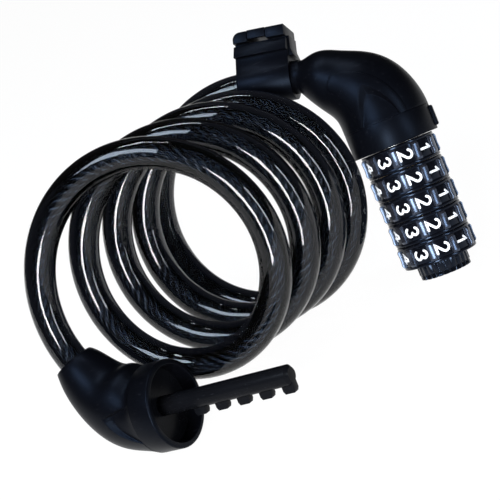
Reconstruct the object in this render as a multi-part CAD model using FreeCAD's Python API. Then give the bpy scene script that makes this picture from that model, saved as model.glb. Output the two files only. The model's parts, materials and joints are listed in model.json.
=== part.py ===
import FreeCAD
import Part
import math
import os

# Spiral cable lock: a coiled steel cable in a clear sheath, a five-dial head, a toothed plug and a carrier.
# Millimetres. The lock rests on its plug boot, its lowest loop and the rim of its end cap, with +Z up.

# Cable
cable_diameter = 12.0
rope_diameter = 5.0
rope_gap = 0.1
sheath_fit = 0.05

# Coil, in its own frame: the turns lie about its Z axis and go away along +Z
coil_radius = 42.3
coil_pitch = 17.65
coil_lean_x = 5.14
coil_lean_y = -3.73
coil_bow_x = 0.52
coil_bow_y = -0.82
coil_bow_z = 0.4
coil_start_deg = -230.0
coil_end_deg = 1338.0
coil_steps = 18
first_turn_splay = 1.57
splay_until_turn = 1.34
last_turn_flare = 5.0
flare_from_turn = 3.59

# How the lock lies on the floor: compass heading of the coil's axis, and room under the sheath
rest_heading_deg = 75.8
rest_lift = 0.03

# Elbows of the head and the boot
bend_radius = 27.0
head_lead = 28.8
head_bend_deg = 77.3
head_roll_deg = -94.2
head_tail = 1.8
boot_lead = 10.1
boot_bend_deg = 65.9
boot_roll_deg = 98.3
boot_tail = 0.0
neck_radius = 6.7
neck_length = 23.9
neck_start = 0.3
neck_bead_height = 0.5
neck_bead_width = 2.0
neck_bead_at = 5.0
seam_radius = 17.5
recess_depth = 2.0
shield_height = 0.6
flank_fade_length = 15.0
head_arch_left = -7.0
head_arch_right = 9.4
head_arch_point_x = -0.8
head_arch_point_z = 15.2
boot_arch_left = -7.2
boot_arch_right = 8.8
boot_arch_point_x = -4.6
boot_arch_point_z = 12.8
arch_left_bulge = 0.6
arch_right_bulge = 2.2
arch_edge_inset = 1.5
arch_cut_inside = 3.5
arch_cut_outside = 2.5
arch_side_slope = 0.8
arch_point_slope = 2.7

# Cable ends inside the elbows
sheath_in_head = 22.0
sheath_in_boot = 12.0
ferrule_radius = 5.5
ferrule_length = 14.0
rope_in_ferrule = 7.5
end_gap = 0.2
cross_pin_radius = 1.5
cross_pin_from_end = 3.0
boss_radius = 6.8
boss_back = 5.5
boss_over = 2.0
rod_radius = 6.4
root_radius = 9.0
root_height = 9.0
press_gap = 0.05
cavity_gap = 0.1

# Barrel and the bore for the pin
barrel_radius = 5.2
barrel_bore_radius = 3.9
slot_width = 3.3
running_gap = 0.08
barrel_root = 7.0
bore_past_tip = 0.8
slot_past_tip = 0.4

# Collar under the head shroud
collar_length = 10.6
collar_wall = 3.6
collar_floor = 2.4
index_rib_width = 3.0
index_rib_height = 1.2
index_rib_inset = 1.2

# Number dials
dial_count = 5
dial_pitch = 9.6
dial_gap = 0.2
digit_count = 10
panel_radius = 14.2
flange_radius = 14.9
flange_width = 1.2
rib_radius = 15.6
rib_width = 2.0
ring_flat_radius = 10.9
ring_flat_gap = 0.1

# Code rings inside the dials
gate_clearance = 0.3
gate_width = 4.0
tooth_room = 0.4
click_notch_radius = 0.6
click_notch_depth = 0.35

# Click spring strip in the back of the barrel
click_width = 3.0
click_thickness = 0.35
click_groove_depth = 0.9
click_bump_radius = 0.7

# Springs and thrust ring in the collar
disc_count = 4
disc_thickness = 0.8
disc_gap = 0.04
disc_inner_radius = 7.2
disc_outer_radius = 12.2
thrust_thickness = 1.6

# End cap that resets the code
cap_radius = 10.5
cap_length = 5.8
flute_count = 24
flute_depth = 0.6
cap_groove_width = 0.4
cap_rim_length = 1.5
cap_rim_radius = 10.2
plate_radius = 8.5
plate_thickness = 1.0
circlip_radius = 7.2
circlip_thickness = 0.8
circlip_groove_depth = 0.7

# Plug: collar with the open cup, base and toothed pin
cup_radius = 14.5
cup_wall = 2.1
cup_collar_length = 9.4
cup_rim_round = 0.8
base_flange_thickness = 3.0
home_gap = 0.3
pin_radius = 3.7
pin_reach = 50.7
pin_root = 10.0
tooth_count = 5
tooth_height = 2.5
tooth_width = 2.7
tooth_foot = 5.0
tooth_tip = 3.8
tooth_slope_height = 1.2
tooth_from_tip = 2.6
pin_tip_chamfer = 1.2

# Carrier on the neck, with its shoe and release latch
carrier_turn_deg = 12.6
carrier_end_gap = 0.4
carrier_length = 22.0
carrier_bore_gap = 0.08
carrier_sleeve_radius = 8.8
carrier_web_half = 6.5
ledge_bottom = 10.2
ledge_top = 15.0
ledge_bottom_half = 9.0
ledge_top_half = 7.2
shoe_neck_half = 5.0
shoe_bottom = 16.2
shoe_top = 20.6
shoe_half = 8.2
shoe_length = 21.6
shoe_corner = 3.0
shoe_chamfer = 0.6
gusset_reach = 1.8
gusset_lip = 0.8
gusset_half = 5.0
gusset_foot = 8.2
latch_centre = -0.9
latch_width = 7.4
latch_gap = 0.3
latch_bottom = 17.8
latch_top = 20.1
latch_back = 6.2
latch_trunnion_radius = 1.0
latch_trunnion_length = 1.4
latch_ridge_radius = 0.7
latch_ridge_count = 3
latch_ridge_pitch = 1.7

EX = FreeCAD.Vector(1, 0, 0)
EY = FreeCAD.Vector(0, 1, 0)
EZ = FreeCAD.Vector(0, 0, 1)
ORIGIN = FreeCAD.Vector(0, 0, 0)


def vec(x, y, z):
    return FreeCAD.Vector(x, y, z)


def cylinder(radius, z0, z1):
    """Upright cylinder about Z from height z0 to z1."""
    low = min(z0, z1)
    return Part.makeCylinder(radius, abs(z1 - z0), vec(0, 0, low))


def rod(radius, start, heading, length):
    """Cylinder from a start point along a heading."""
    return Part.makeCylinder(radius, length, start, heading)


def block(x0, x1, y0, y1, z0, z1):
    """Box between two corners."""
    return Part.makeBox(x1 - x0, y1 - y0, z1 - z0, vec(x0, y0, z0))


def ring(outer, inner, z0, z1):
    """Plain ring about Z."""
    return cylinder(outer, z0, z1).cut(cylinder(inner, min(z0, z1) - 1, max(z0, z1) + 1))


def prism(radius, sides, z0, z1, turn_deg=0.0):
    """Regular prism about Z whose flats stand at the given radius, one of them facing turn_deg."""
    corner = radius / math.cos(math.pi / sides)
    points = []
    for i in range(sides + 1):
        a = math.radians(turn_deg) + (2 * i + 1) * math.pi / sides
        points.append(vec(corner * math.cos(a), corner * math.sin(a), min(z0, z1)))
    return Part.Face(Part.makePolygon(points)).extrude(vec(0, 0, abs(z1 - z0)))


def profile_solid(points, direction):
    """Closed polygon swept straight along a direction."""
    return Part.Face(Part.makePolygon(points + [points[0]])).extrude(direction)


def union(shapes):
    """One shape from several, with seams between coplanar faces removed."""
    whole = shapes[0]
    if len(shapes) > 1:
        whole = shapes[0].multiFuse(shapes[1:])
    return whole.removeSplitter()


def turned(shape, degrees):
    """Copy turned about Z."""
    copy = shape.copy()
    copy.rotate(ORIGIN, EZ, degrees)
    return copy


# The coil's centreline

turn_count = (coil_end_deg - coil_start_deg) / 360


def coil_radius_at(turn):
    """The first turn opens towards the boot, and the last flares out to the head's neck."""
    splay = first_turn_splay * max(splay_until_turn - turn, 0) ** 2
    way = (turn - flare_from_turn) / (turn_count - flare_from_turn)
    flare = last_turn_flare * (1 - math.cos(math.pi * min(max(way, 0), 1))) / 2
    return coil_radius + splay + flare


def coil_point(angle_deg):
    """Centreline point of the coil at a turn angle, in the coil's frame."""
    turn = (angle_deg - coil_start_deg) / 360
    r = coil_radius_at(turn)
    a = math.radians(angle_deg)
    bow = turn * (turn_count - turn)
    return vec(
        r * math.cos(a) + coil_lean_x * turn + coil_bow_x * bow,
        r * math.sin(a) + coil_lean_y * turn + coil_bow_y * bow,
        coil_pitch * turn + coil_bow_z * bow,
    )


def coil_tangent(angle_deg):
    """Unit heading of the coil at a turn angle."""
    step = coil_point(angle_deg + 0.25) - coil_point(angle_deg - 0.25)
    return step.normalize()


def arc_from(start, heading, end):
    """Circular edge that leaves start along heading and reaches end."""
    chord = end - start
    along = FreeCAD.Vector(chord).normalize()
    side = heading - along * heading.dot(along)
    half_turn = heading.getAngle(along)
    rise = chord.Length / 2 * math.tan(half_turn / 2)
    middle = (start + end) / 2 + side.normalize() * rise
    return Part.Arc(start, middle, end).toShape()


def biarc(p0, t0, p1, t1):
    """Two tangent arcs between two points with given headings."""
    v = p1 - p0
    t = t0 + t1
    c = 2 * (1 - t0.dot(t1))
    d = (math.sqrt(v.dot(t) ** 2 + c * v.dot(v)) - v.dot(t)) / c
    joint = (p0 + t0 * d + p1 - t1 * d) / 2
    first = arc_from(p0, t0, joint)
    back = arc_from(p1, t1 * -1, joint)
    second = Part.Arc(joint, back.valueAt((back.FirstParameter + back.LastParameter) / 2), p1).toShape()
    return [first, second]


def cable_path(before, after):
    """Wire of the cable: a straight end in the boot, the coil's biarcs and a straight end in the head."""
    angles = [
        coil_start_deg + (coil_end_deg - coil_start_deg) * i / coil_steps for i in range(coil_steps + 1)
    ]
    first, last = coil_point(angles[0]), coil_point(angles[-1])
    t_first, t_last = coil_tangent(angles[0]), coil_tangent(angles[-1])
    edges = [Part.makeLine(first - t_first * before, first)]
    for a, b in zip(angles, angles[1:]):
        edges += biarc(coil_point(a), coil_tangent(a), coil_point(b), coil_tangent(b))
    edges.append(Part.makeLine(last, last + t_last * after))
    return Part.Wire(edges)


def tube_along(path, radius):
    """Round bar along a wire."""
    start = path.OrderedEdges[0]
    at = start.valueAt(start.FirstParameter)
    heading = start.tangentAt(start.FirstParameter)
    circle = Part.Wire(Part.Circle(at, heading, radius).toShape())
    bar = path.makePipeShell([circle], True, False)
    return bar


def least_coil_gap():
    """Least distance between the surfaces of different turns, measured on centreline points."""
    step = 6.0
    count = int((coil_end_deg - coil_start_deg) / step)
    points = [coil_point(coil_start_deg + step * i) for i in range(count + 1)]
    apart = int(180 / step)
    pairs = [(i, j) for i in range(len(points)) for j in range(i + apart, len(points))]
    return min(points[i].distanceToPoint(points[j]) for i, j in pairs) - cable_diameter


# Elbows: the frame's origin is the centre of the seam, +Z points back into the elbow,
# the neck comes in from -X and the outside of the bend faces +X


class Elbow:
    """Bent axis of a shroud: a straight lead from the cable's mouth, an arc and a tail to the seam."""

    def __init__(self, lead, bend_deg, tail, cable_point, cable_heading, roll_deg):
        self.lead = lead
        self.bend = math.radians(bend_deg)
        self.tail = tail
        self.arc = bend_radius * self.bend
        self.length = lead + self.arc + tail
        self.corner = tail + bend_radius * math.tan(self.bend / 2)
        self.heading = vec(math.sin(self.bend), 0, -math.cos(self.bend))
        self.outward = vec(math.cos(self.bend), 0, math.sin(self.bend))
        reach = lead + bend_radius * math.tan(self.bend / 2)
        self.mouth = vec(0, 0, self.corner) - self.heading * reach
        self.place = self.placement(cable_point, cable_heading, math.radians(roll_deg))

    def placement(self, point, heading, roll):
        """Placement in the coil's frame that puts the mouth on the cable's end."""
        level = (EZ - heading * EZ.dot(heading)).normalize()
        across = heading.cross(level)
        inward = level * math.cos(roll) + across * math.sin(roll)
        x_axis = heading * math.sin(self.bend) - inward * math.cos(self.bend)
        z_axis = (heading * math.cos(self.bend) + inward * math.sin(self.bend)) * -1
        y_axis = z_axis.cross(x_axis)
        turn = FreeCAD.Rotation(x_axis, y_axis, z_axis, "ZXY")
        return FreeCAD.Placement(point - turn.multVec(self.mouth), turn)

    def at(self, s):
        """Point, outward direction and heading at a distance s from the mouth."""
        if s <= self.lead:
            return self.mouth + self.heading * s, self.outward, self.heading
        if s <= self.lead + self.arc:
            a = self.bend - (s - self.lead) / bend_radius
            out = vec(math.cos(a), 0, math.sin(a))
            point = vec(-bend_radius, 0, self.tail) + out * bend_radius
            return point, out, vec(math.sin(a), 0, -math.cos(a))
        return vec(0, 0, self.length - s), EX, EZ * -1

    def on_neck(self, s):
        """Point on the neck's own straight line at a distance s from the mouth."""
        return self.mouth + self.heading * s

    def body(self, sections, grow=0.0):
        """Loft through circles, each given as distance from the mouth, outer reach and inner reach.

        A grown or shrunk body comes back almost to the plain one at the seam.
        """
        wires = []
        for s, outer, inner in sections:
            point, out, heading = self.at(s)
            centre = point + out * ((outer - inner) / 2)
            share = min(1.0, 0.15 + (self.length - s) / flank_fade_length)
            circle = Part.Circle(centre, heading, (outer + inner) / 2 + grow * share)
            wires.append(Part.Wire(circle.toShape()))
        return Part.makeLoft(wires, True, False)

    def bent_rod(self, radius, s_start):
        """Round bar along the arc from s_start to the tail."""
        point, out, heading = self.at(s_start)
        face = Part.Face(Part.Wire(Part.Circle(point, heading, radius).toShape()))
        sweep = self.bend - (s_start - self.lead) / bend_radius
        bar = face.revolve(vec(-bend_radius, 0, self.tail), EY, math.degrees(sweep))
        if self.tail > 0:
            bar = bar.fuse(cylinder(radius, 0, self.tail))
        return bar


end_point = coil_point(coil_end_deg)
end_heading = coil_tangent(coil_end_deg)
start_point = coil_point(coil_start_deg)
start_heading = coil_tangent(coil_start_deg) * -1
head = Elbow(head_lead, head_bend_deg, head_tail, end_point, end_heading, head_roll_deg)
boot = Elbow(boot_lead, boot_bend_deg, boot_tail, start_point, start_heading, boot_roll_deg)

boot_seam_radius = cup_radius + cup_wall

# Shroud sections: distance from the mouth, reach on the outside and on the inside of the bend
head_sections = [
    (neck_length, neck_radius + 0.1, neck_radius + 0.2),
    (head_lead - 1.5, neck_radius + 0.1, 10.8),
    (head_lead + 2.6, 8.6, 13.6),
    (head_lead + 9.5, 9.6, 15.5),
    (head_lead + 18.5, 13.1, 16.5),
    (head_lead + 28.0, 16.1, 17.2),
    (head.length, seam_radius, seam_radius),
]
boot_sections = [
    (0.0, 8.0, 8.2),
    (3.0, 9.0, 9.9),
    (10.0, 10.5, 12.4),
    (20.0, 12.6, 15.1),
    (31.0, 15.0, 16.2),
    (boot.length, boot_seam_radius, boot_seam_radius),
]


# Panels on both flanks of a shroud


def bulged(start, end, bulge):
    """Arc between two points that swells to the left of its way in the XZ plane."""
    chord = end - start
    side = vec(-chord.z, 0, chord.x).normalize()
    return Part.Arc(start, (start + end) / 2 + side * bulge, end).toShape()


def arch_outline(left, right, point_x, point_z):
    """Pointed arch in the XZ plane with its foot below the seam and its point towards the bend."""
    foot_left, foot_right, point = vec(left, 0, -1), vec(right, 0, -1), vec(point_x, 0, point_z)
    sides = [bulged(foot_left, point, arch_left_bulge), bulged(point, foot_right, arch_right_bulge)]
    return Part.Wire(sides + [Part.makeLine(foot_right, foot_left)])


def arch_tools(arch, edge):
    """Tools for both flanks. The arch has its given size at the edge's distance and opens outwards."""
    left, right, point_x, point_z = arch
    wires = []
    for rise in (-arch_cut_inside, arch_cut_outside):
        side, up = arch_side_slope * rise, arch_point_slope * rise
        wire = arch_outline(left - side, right + side, point_x, point_z + up)
        wire.translate(vec(0, edge + rise, 0))
        wires.append(wire)
    tool = Part.makeLoft(wires, True, True)
    return [tool, tool.mirror(ORIGIN, EY)]


def shield_outline(left, right):
    """Drop-shaped field around the arch, round towards the neck and drawn in at the seam."""
    start, end = vec(left - 1.4, 0, -1), vec(right + 1.6, 0, -1)
    shoulder, top = vec(-14.2, 0, 18.6), vec(-8.0, 0, 23.4)
    left_side = Part.Arc(start, vec(-9.4, 0, 9.5), shoulder).toShape()
    round_end = Part.Arc(shoulder, vec(-13.0, 0, 22.6), top).toShape()
    right_side = Part.Arc(top, vec(4.9, 0, 15.8), end).toShape()
    return Part.Wire([left_side, round_end, right_side, Part.makeLine(end, start)])


def flank_prism(outline):
    """The outline swept across the whole shroud."""
    face = Part.Face(outline)
    face.translate(vec(0, -30, 0))
    return face.extrude(vec(0, 60, 0))


def with_arches(shell, elbow, sections, arch):
    """Shell with a sunk pointed panel on each flank, with sloped walls and a ramp at its point."""
    floor = elbow.body(sections, -recess_depth)
    for tool in arch_tools(arch, sections[-1][1] - arch_edge_inset):
        shell = shell.cut(tool.cut(floor))
    return shell


def core_cavity(elbow, sheath_in, gap):
    """Solid of everything that a shroud holds: ferrule, boss, bent rod and root."""
    ferrule_end = sheath_in + end_gap + ferrule_length
    boss_start = ferrule_end - boss_back
    ferrule_room = ferrule_length + end_gap + gap
    boss_length = boss_back + boss_over + 2 * gap
    return [
        rod(ferrule_radius + gap, elbow.on_neck(sheath_in), elbow.heading, ferrule_room),
        rod(boss_radius + gap, elbow.on_neck(boss_start - gap), elbow.heading, boss_length),
        elbow.bent_rod(rod_radius + gap, boss_start + 2.0 - gap),
        cylinder(root_radius + gap, -1 if gap > 0 else 0, root_height + gap),
    ]


def make_core(elbow, sheath_in):
    """Die-cast elbow that ties the ferrule to the barrel or the pin."""
    parts = core_cavity(elbow, sheath_in, 0.0)
    solid = union(parts[1:])
    ferrule_end = sheath_in + end_gap + ferrule_length
    hole_length = ferrule_length + end_gap + press_gap
    hole = rod(ferrule_radius + press_gap, elbow.on_neck(sheath_in), elbow.heading, hole_length)
    pin_at = elbow.on_neck(ferrule_end - cross_pin_from_end)
    cross = rod(cross_pin_radius + press_gap, pin_at - EY * 20, EY, 40)
    return solid.cut(hole).cut(cross)


def make_ferrule(elbow, sheath_in):
    """Crimped sleeve on the rope's bare end, with a cross hole near its closed end."""
    start = sheath_in + end_gap
    solid = rod(ferrule_radius, elbow.on_neck(start), elbow.heading, ferrule_length)
    bore_length = rope_in_ferrule + 1 + end_gap
    bore = rod(rope_diameter / 2 + press_gap, elbow.on_neck(start - 1), elbow.heading, bore_length)
    pin_at = elbow.on_neck(start + ferrule_length - cross_pin_from_end)
    cross = rod(cross_pin_radius + press_gap, pin_at - EY * 20, EY, 40)
    return solid.cut(bore).cut(cross)


def make_cross_pin(elbow, sheath_in):
    """Steel pin through the core's boss and the ferrule."""
    at = elbow.on_neck(sheath_in + end_gap + ferrule_length - cross_pin_from_end)
    half = boss_radius - 0.5
    return rod(cross_pin_radius, at - EY * half, EY, 2 * half)


def sheath_hole(elbow, sheath_in):
    """Bore that grips the sheath."""
    return rod(cable_diameter / 2 + sheath_fit, elbow.on_neck(-2), elbow.heading, sheath_in + 2)


def make_head_shroud():
    neck = rod(neck_radius, head.on_neck(neck_start), head.heading, neck_length + 1 - neck_start)
    bead_start = neck_bead_at - neck_bead_width / 2
    bead = rod(neck_radius + neck_bead_height, head.on_neck(bead_start), head.heading, neck_bead_width)
    arch = (head_arch_left, head_arch_right, head_arch_point_x, head_arch_point_z)
    shield = flank_prism(shield_outline(head_arch_left, head_arch_right))
    shield = head.body(head_sections, shield_height).common(shield)
    shell = with_arches(head.body(head_sections).fuse(shield), head, head_sections, arch)
    shell = shell.fuse([neck, bead])
    cuts = core_cavity(head, sheath_in_head, cavity_gap) + [sheath_hole(head, sheath_in_head)]
    for cut in cuts:
        shell = shell.cut(cut)
    return shell.removeSplitter()


def make_plug_boot():
    arch = (boot_arch_left, boot_arch_right, boot_arch_point_x, boot_arch_point_z)
    shell = with_arches(boot.body(boot_sections), boot, boot_sections, arch)
    cuts = core_cavity(boot, sheath_in_boot, cavity_gap) + [sheath_hole(boot, sheath_in_boot)]
    for cut in cuts:
        shell = shell.cut(cut)
    return shell.removeSplitter()


# Head pieces, in the head's frame

dials_top = -collar_length - dial_gap
dials_bottom = dials_top - dial_count * dial_pitch + dial_gap
cap_top = dials_bottom - dial_gap
cap_bottom = cap_top - cap_length
barrel_end = cap_bottom + plate_thickness + 0.1
tooth_reach = pin_radius + tooth_height
gate_radius = tooth_reach + tooth_room
locked_tip = dials_bottom - home_gap + pin_reach
gate_thickness = dial_pitch - tooth_foot - 2 * gate_clearance
thrust_top = dials_top + dial_gap / 2 + thrust_thickness


def make_head_anchor():
    socket = cylinder(barrel_radius + press_gap, -1, barrel_root)
    return make_core(head, sheath_in_head).cut(socket)


def make_lock_barrel():
    solid = cylinder(barrel_radius, barrel_root - press_gap, barrel_end)
    bore = cylinder(barrel_bore_radius, locked_tip + bore_past_tip, barrel_end - 1)
    side = slot_width / 2
    slot = block(0, barrel_radius + 1, -side, side, barrel_end - 1, locked_tip + slot_past_tip)
    groove_x = -barrel_radius + click_groove_depth
    half = click_width / 2 + 0.1
    groove = block(-barrel_radius - 1, groove_x, -half, half, dials_bottom - 0.5, dials_top + 0.5)
    clip_top = circlip_top()
    clip_groove = ring(
        barrel_radius + 1,
        barrel_radius - circlip_groove_depth,
        clip_top + press_gap,
        clip_top - circlip_thickness - press_gap,
    )
    return solid.cut(bore).cut(slot).cut(groove).cut(clip_groove)


def make_click_spring():
    """Flat strip with one bump for each dial."""
    x0 = -barrel_radius + click_groove_depth - press_gap
    strip = block(
        x0 - click_thickness, x0, -click_width / 2, click_width / 2, dials_bottom - 0.3, dials_top + 0.3
    )
    crest = -math.sqrt(barrel_radius**2 - (click_width / 2) ** 2)
    bumps = []
    for i in range(dial_count):
        centre = vec(crest + click_bump_radius, -click_width / 2, gate_span(i)[0] - gate_thickness / 2)
        bumps.append(rod(click_bump_radius, centre, EY, click_width))
    keep = block(crest - 0.1, x0, -click_width, click_width, dials_bottom - 1, dials_top + 1)
    return union([strip] + bumps).common(keep)


def make_head_collar():
    outer = cylinder(seam_radius, -collar_length, 0)
    rib_x = seam_radius + index_rib_height
    rib = block(
        seam_radius - 1,
        rib_x,
        -index_rib_width / 2,
        index_rib_width / 2,
        -collar_length + index_rib_inset,
        -index_rib_inset,
    )
    rib = rib.makeChamfer(0.4, [e for e in rib.Edges if e.CenterOfMass.x > rib_x - 0.01])
    pocket = cylinder(seam_radius - collar_wall, -collar_length - 1, -collar_floor)
    bore = cylinder(barrel_radius + press_gap, -collar_length - 1, 1)
    return union([outer, rib]).cut(pocket).cut(bore)


def make_disc_springs():
    """Cone washers stacked point to point under the collar's floor."""
    springs = []
    step = (-collar_floor - thrust_top) / disc_count
    disc_rise = step - disc_thickness - disc_gap
    for i in range(disc_count):
        z = -collar_floor - disc_gap / 2 - i * step
        lift_in, lift_out = (0, disc_rise) if i % 2 else (disc_rise, 0)
        points = [
            vec(disc_inner_radius, 0, z - lift_in),
            vec(disc_outer_radius, 0, z - lift_out),
            vec(disc_outer_radius, 0, z - lift_out - disc_thickness),
            vec(disc_inner_radius, 0, z - lift_in - disc_thickness),
        ]
        face = Part.Face(Part.makePolygon(points + [points[0]]))
        springs.append(face.revolve(ORIGIN, EZ, 360))
    return Part.makeCompound(springs)


def make_thrust_ring():
    """Flat ring that passes the springs' push on to the code rings."""
    return ring(disc_outer_radius, disc_inner_radius, thrust_top - thrust_thickness, thrust_top)


def dial_span(i):
    top = dials_top - i * dial_pitch
    return top, top - dial_pitch + dial_gap


def gate_span(i):
    """Top and bottom of a gate flange, which stands between two teeth of the locked pin."""
    top = locked_tip - tooth_from_tip - tooth_foot / 2 - gate_clearance - i * dial_pitch
    return top, top - gate_thickness


def make_dial(i):
    """Number dial: flat panels for the digits, ribs between them and a flange at each end."""
    top, bottom = dial_span(i)
    drum = prism(panel_radius, digit_count, bottom, top)
    flanges = [
        cylinder(flange_radius, top - flange_width, top),
        cylinder(flange_radius, bottom, bottom + flange_width),
    ]
    ribs = []
    for k in range(digit_count):
        rib = block(
            panel_radius - 1,
            rib_radius,
            -rib_width / 2,
            rib_width / 2,
            bottom + flange_width - 0.1,
            top - flange_width + 0.1,
        )
        ribs.append(turned(rib, 360 / digit_count * (k + 0.5)))
    solid = union([drum] + flanges + ribs)
    return solid.cut(prism(ring_flat_radius + ring_flat_gap, digit_count, bottom - 1, top + 1))


def make_code_ring(i):
    """Ten-sided ring with a gate flange that blocks the pin's tooth unless its notch stands at the slot."""
    top, bottom = dial_span(i)
    gate_high, gate_low = gate_span(i)
    solid = prism(ring_flat_radius, digit_count, bottom, top)
    solid = solid.cut(cylinder(barrel_radius + running_gap, bottom - 1, top + 1))
    solid = solid.cut(cylinder(gate_radius, gate_high, top + 1))
    solid = solid.cut(cylinder(gate_radius, bottom - 1, gate_low))
    notch = block(0, gate_radius - 0.01, -gate_width / 2, gate_width / 2, bottom, top)
    solid = solid.cut(notch)
    at = barrel_radius + running_gap + click_notch_depth - click_notch_radius
    for k in range(1, digit_count):
        click = rod(click_notch_radius, vec(at, 0, gate_low - 0.1), EZ, gate_thickness + 0.2)
        solid = solid.cut(turned(click, 360 / digit_count * k))
    return solid


def fluted(radius, z0, z1, phase=0.0):
    """Disc with straight flutes round its rim."""
    points = []
    pitch = 2 * math.pi / flute_count
    for k in range(flute_count):
        for share, depth in ((0.0, 0), (0.55, 0), (0.7, flute_depth), (0.85, flute_depth)):
            r = radius - depth
            a = (k + share + phase) * pitch
            points.append(vec(r * math.cos(a), r * math.sin(a), z0))
    return profile_solid(points, vec(0, 0, z1 - z0))


def circlip_top():
    return cap_bottom + plate_thickness + 0.2 + circlip_thickness


def tooth_way():
    """Room for the row of teeth to pass through the end cap."""
    half = slot_width / 2
    return block(0, tooth_reach + tooth_room, -half, half, cap_bottom - 1, cap_top + 1)


def make_reset_sleeve():
    """Fluted end cap that turns a quarter to free the code rings from their dials."""
    rim_top = cap_bottom + cap_rim_length
    grip = fluted(cap_radius, rim_top + cap_groove_width, cap_top)
    waist = cylinder(cap_radius - flute_depth, rim_top, rim_top + cap_groove_width)
    rim = fluted(cap_rim_radius, cap_bottom, rim_top, 0.4)
    solid = union([grip, waist, rim])
    solid = solid.cut(cylinder(barrel_radius + running_gap, cap_bottom - 1, cap_top + 1))
    solid = solid.cut(cylinder(circlip_radius + 0.3, cap_bottom - 1, circlip_top() + 0.1))
    seat_top = cap_bottom + plate_thickness + press_gap
    return solid.cut(cylinder(plate_radius + press_gap, cap_bottom - 1, seat_top)).cut(tooth_way())


def make_keyway_plate():
    """Disc with the keyhole for the pin and its teeth."""
    disc = cylinder(plate_radius, cap_bottom, cap_bottom + plate_thickness)
    hole = cylinder(barrel_bore_radius, cap_bottom - 1, cap_top)
    return disc.cut(hole).cut(tooth_way())


def make_circlip():
    """Open ring in the barrel's groove that keeps the end cap on."""
    top = circlip_top()
    inner = barrel_radius - circlip_groove_depth + press_gap
    whole = ring(circlip_radius, inner, top - circlip_thickness, top)
    mouth_half = slot_width / 2 + 0.5
    return whole.cut(block(0, circlip_radius + 1, -mouth_half, mouth_half, top - 2, top + 1))


# Plug pieces, in the boot's frame

cup_mouth = -cup_collar_length
cup_floor = -base_flange_thickness


def end_rim(solid, height):
    """Round edges of a solid at one height."""
    return [e for e in solid.Edges if e.Length > 1 and abs(e.CenterOfMass.z - height) < 0.01]


def make_plug_collar():
    """Open cup that covers the end cap when the plug is pushed home."""
    outer = cylinder(boot_seam_radius, cup_mouth, 0)
    outer = outer.makeFillet(cup_rim_round, end_rim(outer, cup_mouth))
    return outer.cut(cylinder(cup_radius, cup_mouth - 1, 1))


def make_plug_base():
    """Flange at the cup's floor with the bent rod behind it."""
    flange = cylinder(cup_radius - press_gap, cup_floor, 0)
    solid = union([make_core(boot, sheath_in_boot), flange])
    return solid.cut(cylinder(pin_radius + press_gap, cup_floor - 1, pin_root - base_flange_thickness))


def make_lock_pin():
    """Round pin with a row of rounded teeth, one for each dial."""
    tip = cup_mouth - pin_reach
    top = pin_root - base_flange_thickness - press_gap
    shaft = cylinder(pin_radius, tip, top)
    shaft = shaft.makeChamfer(pin_tip_chamfer, end_rim(shaft, tip))
    teeth = []
    for i in range(tooth_count):
        z = tip + tooth_from_tip + i * dial_pitch
        points = [
            vec(0, -tooth_width / 2, z - tooth_foot / 2),
            vec(tooth_reach - tooth_slope_height, -tooth_width / 2, z - tooth_foot / 2),
            vec(tooth_reach, -tooth_width / 2, z - tooth_tip / 2),
            vec(tooth_reach, -tooth_width / 2, z + tooth_tip / 2),
            vec(tooth_reach - tooth_slope_height, -tooth_width / 2, z + tooth_foot / 2),
            vec(0, -tooth_width / 2, z + tooth_foot / 2),
        ]
        teeth.append(profile_solid(points, vec(0, tooth_width, 0)))
    return union([shaft] + teeth)


# Carrier pieces, in a frame on the neck: X along the neck, Z away from the bend's centre


carrier_centre = neck_length - carrier_end_gap - gusset_reach - carrier_length / 2


def carrier_frame():
    """Placement of the carrier's frame in the head's frame, turned about the neck."""
    along = FreeCAD.Rotation(head.heading, head.outward.cross(head.heading), head.outward, "ZXY")
    turn = along.multiply(FreeCAD.Rotation(EX, -carrier_turn_deg))
    return FreeCAD.Placement(head.on_neck(carrier_centre), turn)


def carrier_slab(points, length, centre=0.0):
    """Profile in the YZ plane swept along X."""
    at = centre - length / 2
    return profile_solid([vec(at, y, z) for y, z in points], vec(length, 0, 0))


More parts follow.
